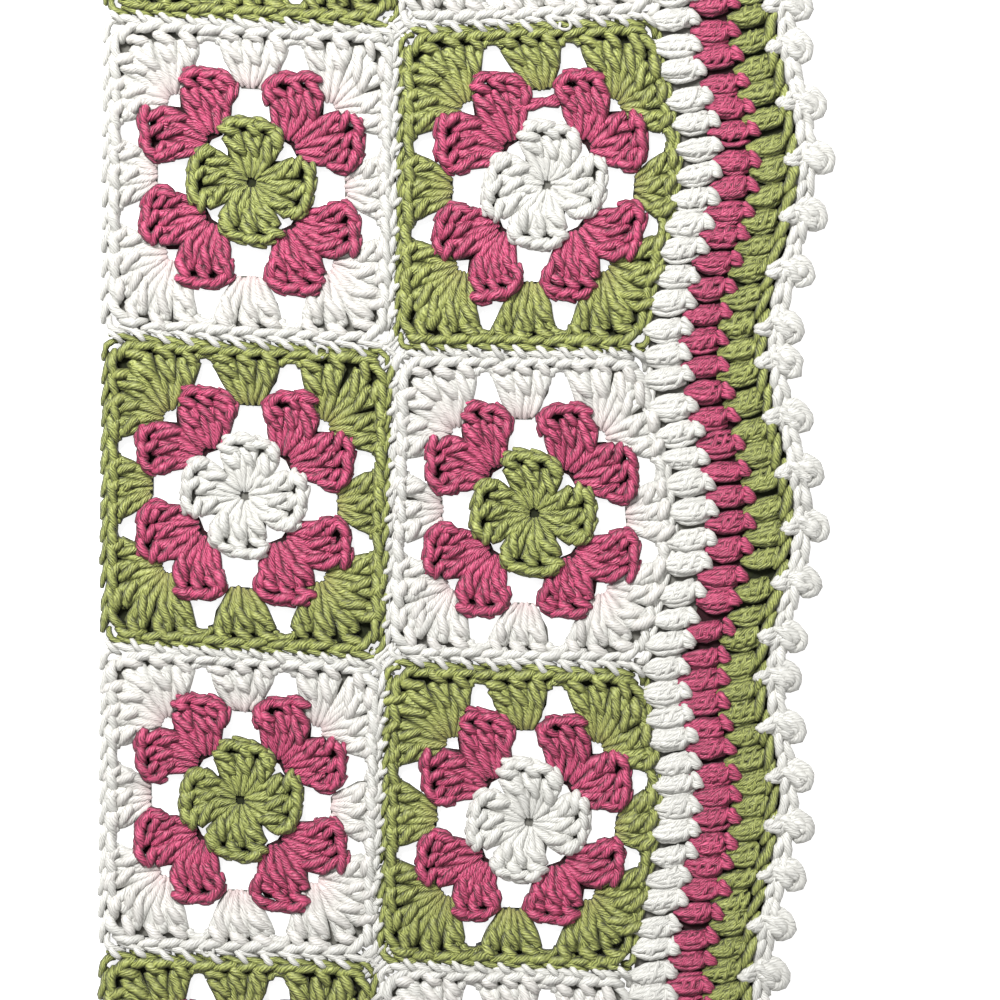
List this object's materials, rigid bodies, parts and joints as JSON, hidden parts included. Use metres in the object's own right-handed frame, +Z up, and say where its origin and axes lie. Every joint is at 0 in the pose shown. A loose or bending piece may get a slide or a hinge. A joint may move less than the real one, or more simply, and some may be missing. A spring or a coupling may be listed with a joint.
{
  "type": "granny square blanket",
  "caption": "Cut length of a crocheted granny square blanket in white, pink and green yarn, with a puffed side border and a looped picot edging.",
  "frame": {"origin": "centre of the blanket's footprint, on the surface that it lies on", "axes": "+X runs across the blanket towards its bordered edge, +Y runs along that edge and +Z is up, out of the blanket's face"},
  "size_m": [0.2456, 0.5194, 0.005],
  "materials": {
    "white_yarn": "soft twisted cotton yarn, matt with a faint sheen",
    "pink_yarn": "soft twisted cotton yarn, matt with a faint sheen",
    "green_yarn": "soft twisted cotton yarn, matt with a faint sheen"
  },
  "bodies": {
    "root": {"square_left_1": "green_yarn", "square_left_2": "white_yarn", "square_left_3": "green_yarn", "square_left_4": "white_yarn", "square_left_5": "green_yarn", "square_right_1": "white_yarn", "square_right_2": "green_yarn", "square_right_3": "white_yarn", "square_right_4": "green_yarn", "square_right_5": "white_yarn", "border_white": "white_yarn", "border_pink": "pink_yarn", "border_green": "green_yarn", "picot_edging": "white_yarn"}
  },
  "joints": []
}
